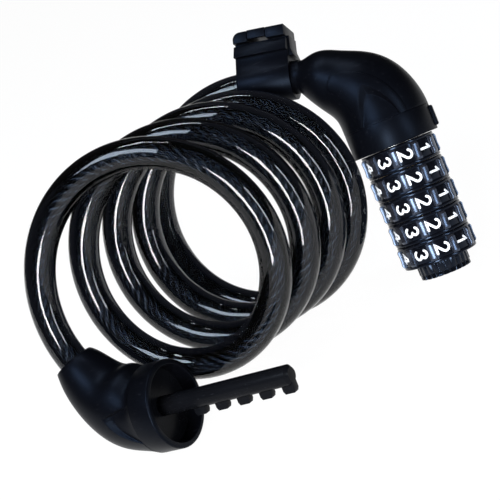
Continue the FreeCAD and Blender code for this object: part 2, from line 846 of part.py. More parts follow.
def make_carrier():
    """Sleeve snapped over the neck's bead, web, sloped ledge, undercut shoe and end gusset."""
    half = carrier_length / 2
    sleeve = rod(carrier_sleeve_radius, vec(-half, 0, 0), EX, carrier_length)
    gusset = profile_solid(
        [
            vec(half - 1, -gusset_half, gusset_foot),
            vec(half + gusset_reach, -gusset_half, gusset_foot),
            vec(half + gusset_lip, -gusset_half, ledge_bottom + 1),
            vec(half + gusset_lip, -gusset_half, shoe_bottom),
            vec(half - 1, -gusset_half, shoe_bottom),
        ],
        vec(0, 2 * gusset_half, 0),
    )
    web = carrier_slab(
        [
            (-carrier_sleeve_radius + 0.3, 0),
            (carrier_sleeve_radius - 0.3, 0),
            (carrier_web_half, ledge_bottom + 0.1),
            (-carrier_web_half, ledge_bottom + 0.1),
        ],
        carrier_length,
    )
    ledge = carrier_slab(
        [
            (-ledge_bottom_half, ledge_bottom),
            (ledge_bottom_half, ledge_bottom),
            (ledge_top_half, ledge_top),
            (-ledge_top_half, ledge_top),
        ],
        carrier_length,
    )
    undercut = block(-half, half, -shoe_neck_half, shoe_neck_half, ledge_top - 0.1, shoe_bottom + 0.1)
    shoe = block(-half, shoe_length - half, -shoe_half, shoe_half, shoe_bottom, shoe_top)
    top_edges = [e for e in shoe.Edges if e.CenterOfMass.z > shoe_top - 0.01]
    shoe = shoe.makeFillet(shoe_corner, [e for e in top_edges if e.CenterOfMass.x < 0.01 - half])
    top_edges = [e for e in shoe.Edges if e.CenterOfMass.z > shoe_top - 0.01]
    side_edges = [e for e in top_edges if abs(e.CenterOfMass.y) > shoe_half - 0.01]
    shoe = shoe.makeChamfer(shoe_chamfer, side_edges)
    solid = union([sleeve, gusset, web, ledge, undercut, shoe])
    bore = rod(neck_radius + carrier_bore_gap, vec(-half - 1, 0, 0), EX, carrier_length + 2)
    groove_start = neck_bead_at - neck_bead_width / 2 - carrier_bore_gap - carrier_centre
    groove = rod(
        neck_radius + neck_bead_height + carrier_bore_gap,
        vec(groove_start, 0, 0),
        EX,
        neck_bead_width + 2 * carrier_bore_gap,
    )
    room = latch_width / 2 + latch_gap
    channel = block(
        latch_centre - room, latch_centre + room, -shoe_half - 1, shoe_half + 1, shoe_bottom, shoe_top + 1
    )
    trunnion = rod(
        latch_trunnion_radius + running_gap,
        latch_pivot() - EX * (latch_width / 2 + latch_trunnion_length + 0.2),
        EX,
        latch_width + 2 * latch_trunnion_length + 0.4,
    )
    return solid.cut(bore).cut(groove).cut(channel).cut(trunnion)


def latch_pivot():
    return vec(latch_centre, latch_back, (latch_bottom + latch_top) / 2)


def make_release_latch():
    """Tongue between two slots of the shoe, with a hooked front and a ridged thumb pad."""
    x0 = latch_centre - latch_width / 2
    pivot = latch_pivot()
    tongue = block(x0, x0 + latch_width, -shoe_half, latch_back, latch_bottom, latch_top)
    hook = block(x0, x0 + latch_width, -shoe_half, -shoe_half + 2.0, shoe_bottom + 0.6 + latch_gap, shoe_top)
    heel = rod((latch_top - latch_bottom) / 2, vec(x0, pivot.y, pivot.z), EX, latch_width)
    reach = latch_width / 2 + latch_trunnion_length
    trunnion = rod(latch_trunnion_radius, pivot - EX * reach, EX, 2 * reach)
    ridges = []
    for k in range(latch_ridge_count):
        at = vec(x0, -shoe_half + 1.6 + k * latch_ridge_pitch, latch_top + 0.1)
        ridges.append(rod(latch_ridge_radius, at, EX, latch_width))
    return union([tongue, hook, heel, trunnion] + ridges)


# The cable, in the coil's frame


def make_cable_sheath():
    outer = tube_along(cable_path(sheath_in_boot, sheath_in_head), cable_diameter / 2)
    inner = tube_along(cable_path(sheath_in_boot, sheath_in_head), rope_diameter / 2 + rope_gap)
    return outer.cut(inner)


def make_wire_rope():
    path = cable_path(
        sheath_in_boot + end_gap + rope_in_ferrule, sheath_in_head + end_gap + rope_in_ferrule
    )
    return tube_along(path, rope_diameter / 2)


def head_nodes():
    nodes = {
        "head_shroud": make_head_shroud(),
        "head_anchor": make_head_anchor(),
        "head_ferrule": make_ferrule(head, sheath_in_head),
        "head_anchor_pin": make_cross_pin(head, sheath_in_head),
        "lock_barrel": make_lock_barrel(),
        "click_spring": make_click_spring(),
        "head_collar": make_head_collar(),
        "disc_springs": make_disc_springs(),
        "thrust_ring": make_thrust_ring(),
        "reset_sleeve": make_reset_sleeve(),
        "keyway_plate": make_keyway_plate(),
        "circlip": make_circlip(),
    }
    for i in range(dial_count):
        nodes[f"dial_{i + 1}"] = make_dial(i)
        nodes[f"code_ring_{i + 1}"] = make_code_ring(i)
    return nodes


def boot_nodes():
    return {
        "plug_boot": make_plug_boot(),
        "plug_collar": make_plug_collar(),
        "plug_base": make_plug_base(),
        "plug_ferrule": make_ferrule(boot, sheath_in_boot),
        "plug_base_pin": make_cross_pin(boot, sheath_in_boot),
        "lock_pin": make_lock_pin(),
    }


def carrier_nodes():
    return {"carrier": make_carrier(), "release_latch": make_release_latch()}


def cable_nodes():
    return {"cable_sheath": make_cable_sheath(), "wire_rope": make_wire_rope()}


def placed(nodes, placement):
    """Copies of the nodes moved by a placement."""
    moved = {}
    for name, shape in nodes.items():
        copy = shape.copy()
        copy.Placement = placement.multiply(copy.Placement)
        moved[name] = copy
    return moved


def lowest_on_ring(place, height, radius, up):
    """Lowest point of a circle about a frame's Z axis."""
    centre = place.multVec(vec(0, 0, height))
    axis = place.Rotation.multVec(EZ)
    down = (axis * axis.dot(up) - up).normalize()
    return centre + down * radius


def feet(up):
    """Lowest points of the boot's seam, the coil and the end cap, in the coil's frame."""
    seam = lowest_on_ring(boot.place, 0, boot_seam_radius, up)
    cap = lowest_on_ring(head.place, cap_bottom, cap_rim_radius, up)
    span = int(coil_end_deg - coil_start_deg)
    loop = min((coil_point(coil_start_deg + i) for i in range(span)), key=up.dot)
    return seam, loop - up * (cable_diameter / 2 + rest_lift), cap


def rest_turn():
    """Rotation from the coil's frame that levels the three feet and sets the coil's heading."""
    up = vec(-0.3, -0.9, -0.3)
    for _ in range(12):
        a, b, c = feet(up)
        normal = (b - a).cross(c - a).normalize()
        up = normal if normal.dot(up) > 0 else normal * -1
    ahead = (EZ - up * EZ.dot(up)).normalize()
    level = FreeCAD.Rotation(ahead, up.cross(ahead), up, "ZXY").inverted()
    return FreeCAD.Placement(ORIGIN, FreeCAD.Rotation(EZ, rest_heading_deg).multiply(level))


def floor_shift(rigid):
    """Move that centres the rigid pieces over the origin and sets the lowest of them on Z = 0."""
    box = FreeCAD.BoundBox()
    for shape in rigid:
        box.add(shape.optimalBoundingBox(False))
    return vec(-box.Center.x, -box.Center.y, -box.ZMin)


def build():
    """All nodes in the resting pose, and the placement of each assembly's frame."""
    rest = rest_turn()
    frames = {
        "coil": rest,
        "head": rest.multiply(head.place),
        "boot": rest.multiply(boot.place),
        "carrier": rest.multiply(head.place).multiply(carrier_frame()),
    }
    groups = {"coil": cable_nodes(), "head": head_nodes(), "boot": boot_nodes(), "carrier": carrier_nodes()}
    nodes = {}
    for name, group in groups.items():
        nodes.update(placed(group, frames[name]))
    shift = floor_shift([shape for name, shape in nodes.items() if name not in groups["coil"]])
    move = FreeCAD.Placement(shift, FreeCAD.Rotation())
    nodes = placed(nodes, move)
    frames = {name: move.multiply(frame) for name, frame in frames.items()}
    return nodes, frames


def main():
    os.makedirs("parts", exist_ok=True)
    nodes, frames = build()
    for name, shape in nodes.items():
        shape.exportStep(f"parts/{name}.step")
    path = cable_path(sheath_in_boot, sheath_in_head)
    section = math.pi * ((cable_diameter / 2) ** 2 - (rope_diameter / 2 + rope_gap) ** 2)
    print(f"cable length {path.Length:.1f}, least gap between turns {least_coil_gap():.2f}")
    share = nodes["cable_sheath"].Volume / (section * path.Length)
    print(f"sheath volume over section times length {share:.4f}")
    for name, frame in frames.items():
        print(f"{name} frame at {frame.Base}, Z axis {frame.Rotation.multVec(EZ)}")


if __name__ == "__main__":
    main()
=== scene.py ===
import json
import math

import bmesh
import bpy
from bpy.props import FloatProperty, FloatVectorProperty, IntProperty, PointerProperty
from mathutils import Matrix, Vector


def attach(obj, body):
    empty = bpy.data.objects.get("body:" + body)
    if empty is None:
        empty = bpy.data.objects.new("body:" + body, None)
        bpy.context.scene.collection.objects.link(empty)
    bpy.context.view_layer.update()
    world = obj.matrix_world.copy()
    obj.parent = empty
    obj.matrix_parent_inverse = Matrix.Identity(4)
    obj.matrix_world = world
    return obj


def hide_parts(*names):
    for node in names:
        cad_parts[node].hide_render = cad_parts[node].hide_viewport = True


bl_info = {
    "name": "Spiral Cable Lock",
    "version": (1, 0, 0),
    "blender": (4, 5, 0),
    "location": "View3D > Sidebar > Cable Lock",
    "description": "Finishes and fine shapes of a coiled cable lock round its packed solids",
    "category": "Object",
}

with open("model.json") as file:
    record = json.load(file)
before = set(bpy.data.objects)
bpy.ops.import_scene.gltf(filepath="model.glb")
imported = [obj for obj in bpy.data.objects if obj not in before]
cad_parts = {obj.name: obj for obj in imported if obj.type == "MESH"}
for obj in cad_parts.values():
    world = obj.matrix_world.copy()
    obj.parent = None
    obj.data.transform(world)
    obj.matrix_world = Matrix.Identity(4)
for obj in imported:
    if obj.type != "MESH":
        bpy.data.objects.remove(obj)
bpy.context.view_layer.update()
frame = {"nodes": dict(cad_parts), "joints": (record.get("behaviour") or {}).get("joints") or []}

MM = 0.001

# The coil's own frame in the lock: its centre, and its X, Y and Z axes
COIL_CENTRE = Vector((-37.336345, -28.19619, 59.380873)) * MM
COIL_AXES = (
    Vector((0.9081383, -0.318601, -0.2716216)),
    Vector((-0.3472791, -0.2108736, -0.9137448)),
    Vector((0.2338421, 0.9241351, -0.3021459)),
)

# The coil in that frame: it turns about Z and goes away along +Z from its boot end.
# It leans by so many mm a turn, bows in its middle, opens at its first turn and flares at its last.
COIL_START_DEG, COIL_END_DEG = -230, 1338
COIL_TURNS = (COIL_END_DEG - COIL_START_DEG) / 360
COIL_LEAN_X, COIL_LEAN_Y = 5.14, -3.73
COIL_BOW_X, COIL_BOW_Y, COIL_BOW_Z = 0.52, -0.82, 0.4
FIRST_TURN_SPLAY, SPLAY_UNTIL_TURN = 1.57, 1.34
LAST_TURN_FLARE, FLARE_FROM_TURN = 5.0, 3.59

# The cable, in metres: how far the rope goes past the sheath's ends into its ferrules
ROPE_PAST_SHEATH = 0.0077
NEAR_TURN = 0.001  # share of a turn over which the heading at an end is taken
SHEATH_STEPS, ROPE_STEPS = 6, 9  # points of the line for each control point
SHEATH_ROUNDING, CORE_ROUNDING, WIRE_ROUNDING = 10, 2, 0  # Blender's bevel resolution
CORE_SHARE = 1.1  # the core's radius to a strand's

# Copies of the solids with eased edges: which points merge, in metres, which faces count as one flat,
# which edges are eased, and which stay sharp in the shading
MERGE_WITHIN = 4e-6
FLAT_WITHIN_DEG = 0.5
EASED_OVER_DEG = 32
SHARP_OVER_DEG = 35

# The dials, in mm: how deep the core's flats, the panels and the flanges go below the panels' face, how far
# in from the dial's ends the core and the panels start, and how much the rings' edges are eased
DIALS = 5
DIGITS = 10
DIGIT_DEG = 360 / DIGITS
RING_STEPS = 120
CORNER_SHARE = 0.3  # of a ring's easing, how far in the corner of its two facets lies
CORE_DEPTH, CORE_INSET = 0.9, 0.02
PANEL_DEPTH, PANEL_INSET, PANEL_EASE = 1.4, 0.04, 0.05
FLANGE_DEPTH, FLANGE_EASE = 1.0, 0.3
DRUM_SHARP_DEG, PRINT_SHARP_DEG = 28, 30

# A rib, in mm: how far it goes into the flanges and the panels, its easing, and how far over its foot its
# edges are eased. Its top goes from flange to flange, as share of the way and mm from the full height.
RIB_OVERLAP, RIB_DEPTH, RIB_EASE, RIB_EASED_OVER = 0.05, 0.8, 0.2, 0.1
RIB_TOP = ((0, -0.45), (0.12, 0), (0.32, -0.14), (0.5, -0.22), (0.68, -0.14), (0.88, 0), (1, -0.45))
SAME_SIDE = 1e-6  # between the ends of an edge that lies in one side of a rib

# The printed digits, in mm: how far off the panel, how thick, and how far a second stroke is over the first
PRINT_LIFT, PRINT_THICKNESS, PRINT_LAYER = 0.015, 0.06, 0.012
STROKE_STEP = 0.5  # between the points of a stroke
LEAST_MITRE = 0.45  # keeps a sharp corner from reaching far out
END_STEPS = 6  # in a stroke's round end

# The finishes' grain, marks and scratches, as Blender's noise scales, and what they do
GRAIN_SCALE, MARK_SCALE, SCRATCH_SCALE = 2600.0, 70.0, 160.0
GRAIN_DETAIL, MARK_DETAIL, SCRATCH_DETAIL = 3.0, 4.0, 2.0
NOISE_ROUGHNESS, MARK_ROUGHNESS = 0.55, 0.6
SCRATCH_TURN, SCRATCH_STRETCH = (0.5, 0.3, 0.9), (1.0, 9.0, 9.0)
SCRATCH_FROM, SCRATCH_TO = 0.66, 0.74  # noise values over which a scratch comes in
ROUGH_BELOW, ROUGH_ABOVE, LEAST_ROUGH = 0.07, 0.09, 0.02  # how far the marks move the roughness
WORN_LIFT, WORN_PLUS = 2, 0.004  # a scratch's colour, in times of the marks' lift, and what it adds
BUMP_STRENGTH = 0.5
PLAIN_SHEEN, BLUE_SHEEN = (1, 1, 1, 1), (0.45, 0.64, 1.0, 1)
STEEL_COLOUR = (0.55, 0.56, 0.58, 1)
BRASS_COLOUR = (0.72, 0.52, 0.24, 1)
ZINC_COLOUR = (0.36, 0.37, 0.39, 1)

# The photograph's camera: its right, up and back, its place in metres, and its lens and sensor in mm
CAMERA_AXES = ((0.93476, 0, -0.35527), (0.31708, 0.45106, 0.83427), (0.16025, -0.89249, 0.42164))
CAMERA_PLACE = (0.068, -0.38503, 0.22581)
CAMERA_LENS, CAMERA_SENSOR = 80.38, 36

# The floor, in metres: half its side, and how far it lies under the lock
FLOOR_HALF, FLOOR_DROP = 20, 0.0002
FLOOR_ROUGH = 0.9
FLOOR_WHITE = 1.04  # strength of its plain white, which comes to about 1 with the lit share

# The lamps: name, heading and height in degrees, width and height in metres, which level, and colour.
# They stand so many metres from the point that they face.
LAMPS = (
    ("box_camera", -99, 12, (0.19, 0.44), "key_level", (1, 0.99, 0.98)),
    ("strip_right", -38, 18, (0.12, 0.46), "strip_level", (0.85, 0.92, 1)),
    ("box_left", -132, 46, (0.34, 0.3), "left_level", (0.7, 0.83, 1)),
    ("strip_top", 120, 78, (0.5, 0.04), "top_level", (0.86, 0.92, 1)),
)
LAMP_DISTANCE = 0.8
LAMP_AIM = Vector((0, 0, 0.05))
WORLD_COLOUR = (0.95, 0.97, 1, 1)


def joint_called(name):
    return next(j for j in frame["joints"] if j["name"] == name)


def head_matrix():
    """Millimetres on the dials' axis, +X at the index, to metres in the lock."""
    up = Vector(joint_called("reset_turn")["axis"]).normalized()
    neck = Vector(joint_called("carrier_swivel")["axis"]).normalized()
    index = (neck - up * neck.dot(up)).normalized()
    across = up.cross(index)
    at = Vector(joint_called("dial_1_turn")["pos_m"])
    turn = Matrix((index, across, up)).transposed().to_4x4()
    return Matrix.Translation(at) @ turn @ Matrix.Scale(MM, 4)


# Sizes, colours and light that a user can change


def metres(name, description, default):
    return FloatProperty(name=name, description=description, default=default, unit="LENGTH")


def number(name, description, default):
    return FloatProperty(name=name, description=description, default=default)


def paint(name, description, default):
    return FloatVectorProperty(name=name, description=description, default=default, size=4, subtype="COLOR")


class CableSizes(bpy.types.PropertyGroup):
    diameter: metres("Sheath diameter", "Outside of the clear sheath", 0.012)
    length: metres("Cable length", "Sheath from end to end", 1.216)
    coil_radius: metres("Coil radius", "Middle of the coil to the cable's centreline", 0.0423)
    coil_pitch: metres("Coil pitch", "Way along the coil for each turn", 0.01765)
    in_boot: metres("In the boot", "Sheath held in the plug's boot", 0.012)
    in_head: metres("In the head", "Sheath held in the head's neck", 0.022)
    points_per_turn: IntProperty(
        name="Points per turn", description="Control points in each turn of the coil", default=24, min=12
    )
    strands: IntProperty(name="Strands", description="Strands laid round the rope's core", default=6, min=3)
    wires: IntProperty(name="Wires", description="Wires laid in each strand", default=4, min=3)
    strand_lay: metres("Strand lay", "Rope length in which a strand goes once round", 0.024)
    wire_lay: metres("Wire lay", "Rope length in which a wire goes once round its strand", 0.012)
    rope_diameter: metres("Rope diameter", "Outside of the steel rope", 0.005)


class DialSizes(bpy.types.PropertyGroup):
    panel_radius: number("Panel radius", "Axis to the panels, mm", 14.3)
    flange_radius: number("Flange radius", "Axis to the rim of the end flanges, mm", 14.9)
    flange_width: number("Flange width", "Width of each end flange, mm", 1.2)
    rib_radius: number("Rib radius", "Axis to the top of the ribs, mm", 15.6)
    rib_width: number("Rib width", "Width of the ribs between the panels, mm", 2.7)
    bore_radius: number("Bore radius", "Axis to the flats of the bore, mm", 11.0)
    height: number("Dial height", "One dial along the axis, mm", 9.4)
    digit_height: number("Digit height", "Height of the digits, mm", 5.9)
    digit_width: number("Digit width", "Width of the digits, mm", 4.3)
    digit_stroke: number("Digit stroke", "Width of the digits' strokes, mm", 0.92)


class Finishes(bpy.types.PropertyGroup):
    shell_colour: paint("Shell", "Moulded black shells", (0.001, 0.0011, 0.0017, 1))
    dial_colour: paint("Dial", "Dial panels and flanges", (0.002, 0.0022, 0.0034, 1))
    rib_colour: paint("Dial rib", "Ribs between the digits", (0.012, 0.012, 0.015, 1))
    digit_colour: paint("Digit", "Printed digits", (0.86, 0.88, 0.9, 1))
    pin_colour: paint("Pin", "Black enamel of the plug's pin", (0.0025, 0.0027, 0.0035, 1))
    sheath_tint: paint("Sheath tint", "Smoke in the clear sheath", (0.04, 0.07, 0.14, 1))
    sheath_density: number("Sheath density", "How fast the smoke darkens, per metre", 560.0)
    rope_colour: paint("Rope", "Steel wires", (0.84, 0.92, 1.0, 1))


class StageSettings(bpy.types.PropertyGroup):
    floor_colour: paint("Floor", "Pale floor", (0.8, 0.8, 0.81, 1))
    floor_glow: number("Floor glow", "Share of plain white in the floor as seen", 0.93)
    key_level: number("Key light", "Brightness of the box beside the camera", 36.0)
    strip_level: number("Right strip", "Brightness of the narrow strip on the right", 16.0)
    left_level: number("Left light", "Brightness of the high box on the left", 14.0)
    top_level: number("Top strip", "Brightness of the narrow strip overhead", 30.0)
    world_level: number("World", "Even light all round", 0.05)


def settings():
    return bpy.context.scene.cable_lock


# Node groups and finishes


def set_values(node, values):
    """Set values on a node's own sockets, by the sockets' names."""
    for socket, value in values.items():
        node.inputs[socket].default_value = value
    return node


def noise(tree, where, scale, detail, roughness=NOISE_ROUGHNESS):
    """Noise at a place, with its scale from a socket."""
    node = set_values(tree.nodes.new("ShaderNodeTexNoise"), {"Detail": detail, "Roughness": roughness})
    tree.links.new(where, node.inputs["Vector"])
    tree.links.new(scale, node.inputs["Scale"])
    return node.outputs["Fac"]


def grain_group():
    """Fine moulded grain, broad handling marks and sparse scratches, from the piece's own coordinates."""
    found = bpy.data.node_groups.get("surface_grain")
    if found:
        return found
    group = bpy.data.node_groups.new("surface_grain", "ShaderNodeTree")
    scales = {"Grain Scale": GRAIN_SCALE, "Mark Scale": MARK_SCALE, "Scratch Scale": SCRATCH_SCALE}
    for label, value in scales.items():
        made = group.interface.new_socket(label, in_out="INPUT", socket_type="NodeSocketFloat")
        made.default_value = value
    for label in ("Height", "Marks", "Scratches"):
        group.interface.new_socket(label, in_out="OUTPUT", socket_type="NodeSocketFloat")
    given, out = group.nodes.new("NodeGroupInput"), group.nodes.new("NodeGroupOutput")
    link = group.links.new
    where = group.nodes.new("ShaderNodeTexCoord").outputs["Object"]
    stretch = group.nodes.new("ShaderNodeMapping")
    set_values(stretch, {"Rotation": SCRATCH_TURN, "Scale": SCRATCH_STRETCH})
    link(where, stretch.inputs["Vector"])
    scratches = noise(group, stretch.outputs["Vector"], given.outputs["Scratch Scale"], SCRATCH_DETAIL)
    sharpen = group.nodes.new("ShaderNodeMapRange")
    set_values(sharpen, {"From Min": SCRATCH_FROM, "From Max": SCRATCH_TO})
    link(scratches, sharpen.inputs["Value"])
    link(noise(group, where, given.outputs["Grain Scale"], GRAIN_DETAIL), out.inputs["Height"])
    link(noise(group, where, given.outputs["Mark Scale"], MARK_DETAIL, MARK_ROUGHNESS), out.inputs["Marks"])
    link(sharpen.outputs["Result"], out.inputs["Scratches"])
    return group


def blank_material(name):
    """New material, with its node tree and its shader."""
    made = bpy.data.materials.new(name)
    made.use_nodes = True
    return made, made.node_tree, made.node_tree.nodes["Principled BSDF"]


def grained(tree, shader, grain, marks, rough, bump):
    """Give a shader roughness that wanders with the marks and a bump from the grain, and return the group."""
    detail = tree.nodes.new("ShaderNodeGroup")
    detail.node_tree = grain_group()
    set_values(detail, {"Grain Scale": grain, "Mark Scale": marks})
    spread = tree.nodes.new("ShaderNodeMapRange")
    spread.inputs["To Min"].default_value, spread.inputs["To Max"].default_value = rough
    tree.links.new(detail.outputs["Marks"], spread.inputs["Value"])
    tree.links.new(spread.outputs["Result"], shader.inputs["Roughness"])
    relief = tree.nodes.new("ShaderNodeBump")
    relief.inputs["Strength"].default_value, relief.inputs["Distance"].default_value = bump
    tree.links.new(detail.outputs["Height"], relief.inputs["Height"])
    tree.links.new(relief.outputs["Normal"], shader.inputs["Normal"])
    return detail


def lighter(colour, times, plus=0.0):
    """Colour that is some times as light, and never past white."""
    return [min(c * times + plus, 1) for c in colour[:3]] + [1]


def colour_mix(tree, factor, second):
    """Mix node that goes over to a second colour with a factor."""
    mixed = tree.nodes.new("ShaderNodeMix")
    mixed.data_type = "RGBA"
    mixed.inputs["B"].default_value = second
    tree.links.new(factor, mixed.inputs["Factor"])
    return mixed


def finish(
    name, colour, rough, grain_depth,
    metallic=0.0, grain=GRAIN_SCALE, marks=MARK_SCALE, lift=1.6, shine=0.5, tint=PLAIN_SHEEN,
):
    """Surface whose colour and roughness wander with handling marks, over a grain in its normal."""
    found = bpy.data.materials.get(name)
    if found:
        return found
    made, tree, shader = blank_material(name)
    set_values(shader, {"Metallic": metallic, "Specular IOR Level": shine, "Specular Tint": tint})
    wander = (max(rough - ROUGH_BELOW, LEAST_ROUGH), rough + ROUGH_ABOVE)
    detail = grained(tree, shader, grain, marks, wander, (BUMP_STRENGTH, grain_depth))
    tone = colour_mix(tree, detail.outputs["Marks"], lighter(colour, lift))
    tone.inputs["A"].default_value = colour
    worn = colour_mix(tree, detail.outputs["Scratches"], lighter(colour, lift * WORN_LIFT, WORN_PLUS))
    tree.links.new(tone.outputs["Result"], worn.inputs["A"])
    tree.links.new(worn.outputs["Result"], shader.inputs["Base Color"])
    return made


def shell_finish():
    colour = settings().finish.shell_colour
    return finish(
        "moulded_black", colour, rough=0.36, grain_depth=0.00003, lift=1.9, shine=0.07, tint=BLUE_SHEEN
    )


def dial_finish():
    colour = settings().finish.dial_colour
    return finish(
        "dial_black", colour, rough=0.14, grain_depth=0.000006, grain=1500.0, shine=0.2, tint=BLUE_SHEEN
    )


def rib_finish():
    colour = settings().finish.rib_colour
    return finish(
        "rib_grey", colour, rough=0.2, grain_depth=0.000012, marks=900.0, lift=1.25, shine=0.8,
        tint=BLUE_SHEEN,
    )


def digit_finish():
    colour = settings().finish.digit_colour
    return finish("digit_white", colour, rough=0.45, grain_depth=0.000008, lift=1.06, marks=400.0)


def pin_finish():
    colour = settings().finish.pin_colour
    return finish("black_enamel", colour, rough=0.24, grain_depth=0.00001, grain=900.0, shine=0.05)


def steel_finish():
    return finish("bright_steel", STEEL_COLOUR, rough=0.28, grain_depth=0.000006, metallic=1.0, lift=1.2)


def brass_finish():
    return finish("turned_brass", BRASS_COLOUR, rough=0.26, grain_depth=0.000006, metallic=1.0, lift=1.2)


def casting_finish():
    return finish(
        "zinc_casting", ZINC_COLOUR, rough=0.46, grain_depth=0.00004, metallic=1.0, grain=1400.0, lift=1.3
    )


def rope_finish():
    colour = settings().finish.rope_colour
    return finish("rope_wire", colour, rough=0.09, grain_depth=0.000004, metallic=1.0, marks=260.0, lift=1.1)


def sheath_finish():
    """Clear smoky sheath: a nearly smooth skin, and smoke that darkens with the way through it."""
    made, tree, shader = blank_material("smoky_sheath")
    set_values(shader, {"Base Color": (1, 1, 1, 1), "Transmission Weight": 1.0, "IOR": 1.4})
    grained(tree, shader, grain=110.0, marks=60.0, rough=(0.01, 0.05), bump=(0.25, 0.00008))
    smoke = tree.nodes.new("ShaderNodeVolumeAbsorption")
    given = settings().finish
    set_values(smoke, {"Color": given.sheath_tint, "Density": given.sheath_density})
    tree.links.new(smoke.outputs["Volume"], tree.nodes["Material Output"].inputs["Volume"])
    return made


def math_node(tree, operation, first):
    node = tree.nodes.new("ShaderNodeMath")
    node.operation = operation
    tree.links.new(first, node.inputs[0])
    return node


def floor_finish():
    """Pale floor, mostly plain white to the camera, gloss and glass, with the lock's shadow in the rest."""
    made, tree, shader = blank_material("pale_floor")
    set_values(shader, {"Base Color": settings().stage.floor_colour, "Roughness": FLOOR_ROUGH})
    rays = tree.nodes.new("ShaderNodeLightPath")
    seen = rays.outputs["Is Camera Ray"]
    for kind in ("Is Glossy Ray", "Is Transmission Ray"):
        either = math_node(tree, "MAXIMUM", seen)
        tree.links.new(rays.outputs[kind], either.inputs[1])
        seen = either.outputs[0]
    share = math_node(tree, "MULTIPLY", seen)
    share.inputs[1].default_value = settings().stage.floor_glow
    white = set_values(tree.nodes.new("ShaderNodeEmission"), {"Strength": FLOOR_WHITE})
    mixed = tree.nodes.new("ShaderNodeMixShader")
    tree.links.new(share.outputs[0], mixed.inputs["Fac"])
    tree.links.new(shader.outputs["BSDF"], mixed.inputs[1])
    tree.links.new(white.outputs["Emission"], mixed.inputs[2])
    tree.links.new(mixed.outputs["Shader"], tree.nodes["Material Output"].inputs["Surface"])
    return made


def dress(piece, material):
    piece.data.materials.clear()
    piece.data.materials.append(material)


# Shapes and pieces


def in_scene(name, data):
    """New object in the scene for a mesh, a curve, a lamp or a camera."""
    made = bpy.data.objects.new(name, data)
    bpy.context.scene.collection.objects.link(made)
    return made


def mesh_piece(name, bm, materials, body, replaced=(), sharp_deg=SHARP_OVER_DEG):
    """Make one finished piece from a bmesh in metres, smooth but for its sharp edges."""
    mesh = bpy.data.meshes.new(name)
    for made in materials:
        mesh.materials.append(made)
    for face in bm.faces:
        face.smooth = True
    bm.to_mesh(mesh)
    bm.free()
    mesh.set_sharp_from_angle(angle=math.radians(sharp_deg))
    piece = in_scene(name, mesh)
    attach(piece, body)
    if replaced:
        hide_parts(*replaced)


def eased_copy(node, name, body, material, edge, steps=2):
    """Make the node's own shape with its sharp edges eased by so many metres, or left as they are by 0."""
    bm = bmesh.new()
    bm.from_mesh(frame["nodes"][node].data)
    bmesh.ops.remove_doubles(bm, verts=bm.verts, dist=MERGE_WITHIN)
    bmesh.ops.dissolve_limit(bm, angle_limit=math.radians(FLAT_WITHIN_DEG), verts=bm.verts, edges=bm.edges)
    bmesh.ops.recalc_face_normals(bm, faces=bm.faces)
    if edge:
        limit = math.radians(EASED_OVER_DEG)
        sharp = [e for e in bm.edges if e.is_manifold and e.calc_face_angle(0) > limit]
        bmesh.ops.bevel(
            bm, geom=sharp, offset=edge, segments=steps, profile=0.5, affect="EDGES", material=-1,
            clamp_overlap=True,
        )
    mesh_piece(name, bm, [material], body, [node])


def lathe(bm, profile):
    """Closed ring from a closed outline of (radius, height)."""
    verts = [bm.verts.new((r, 0, z)) for r, z in profile]
    edges = [bm.edges.new((a, b)) for a, b in zip(verts, verts[1:] + verts[:1])]
    bmesh.ops.spin(
        bm, geom=verts + edges, cent=(0, 0, 0), axis=(0, 0, 1), angle=2 * math.pi, steps=RING_STEPS,
        use_merge=True,
    )


def rounded_ring(bm, outer, inner, low, high, ease):
    """Ring whose outer edges are eased."""
    c = ease * CORNER_SHARE
    lathe(
        bm,
        [
            (inner, low), (outer - ease, low), (outer - c, low + c), (outer, low + ease),
            (outer, high - ease), (outer - c, high - c), (outer - ease, high), (inner, high),
        ],
    )


def facets(bm, flat_radius, inner_radius, low, high, sides):
    """Ring with flat sides outside and inside."""
    turn = math.pi / sides
    rows = []
    for radius in (flat_radius, inner_radius):
        for z in (low, high):
            made = bmesh.ops.create_circle(bm, segments=sides, radius=radius / math.cos(turn))["verts"]
            first = math.atan2(made[0].co.y, made[0].co.x)
            spin = Matrix.Rotation(turn - first, 4, "Z")
            bmesh.ops.transform(bm, matrix=Matrix.Translation((0, 0, z)) @ spin, verts=made)
            rows.append(list({e for v in made for e in v.link_edges}))
    outer_low, outer_high, inner_low, inner_high = rows
    walls = (outer_low, outer_high), (inner_low, inner_high), (outer_low, inner_low), (outer_high, inner_high)
    for a, b in walls:
        bmesh.ops.bridge_loops(bm, edges=a + b)


# Digits: strokes in a box from -0.5 to 0.5 each way, drawn as runs of points


def arc(x, y, wide, tall, start_deg, end_deg, steps=14):
    """Points along an oval's arc."""
    turns = [math.radians(start_deg + (end_deg - start_deg) * k / steps) for k in range(steps + 1)]
    return [(x + wide * math.cos(u), y + tall * math.sin(u)) for u in turns]


def oval(x, y, wide, tall):
    return arc(x, y, wide, tall, 0, 360, steps=24)[:-1]


